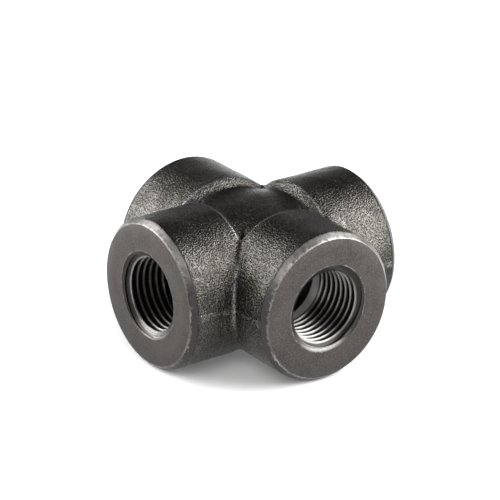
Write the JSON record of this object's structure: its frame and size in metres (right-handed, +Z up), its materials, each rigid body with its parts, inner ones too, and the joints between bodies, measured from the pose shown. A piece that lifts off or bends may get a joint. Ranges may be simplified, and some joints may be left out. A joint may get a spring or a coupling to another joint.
{
  "type": "pipe cross fitting",
  "caption": "Forged steel cross pipe fitting: equal outlets in one plane, each banded and threaded inside with a taper pipe thread.",
  "frame": {"origin": "where the axes of the four outlets cross, which is the middle of the fitting", "axes": "+X out of the right outlet, +Y out of the back outlet, +Z up, at right angles to the plane of the outlets"},
  "size_m": [0.062, 0.062, 0.038],
  "materials": {
    "forged_steel": "satin",
    "cut_thread": "satin"
  },
  "bodies": {
    "root": {"cross_body": "forged_steel", "right_thread": "cut_thread", "back_thread": "cut_thread", "left_thread": "cut_thread", "front_thread": "cut_thread"}
  },
  "joints": []
}
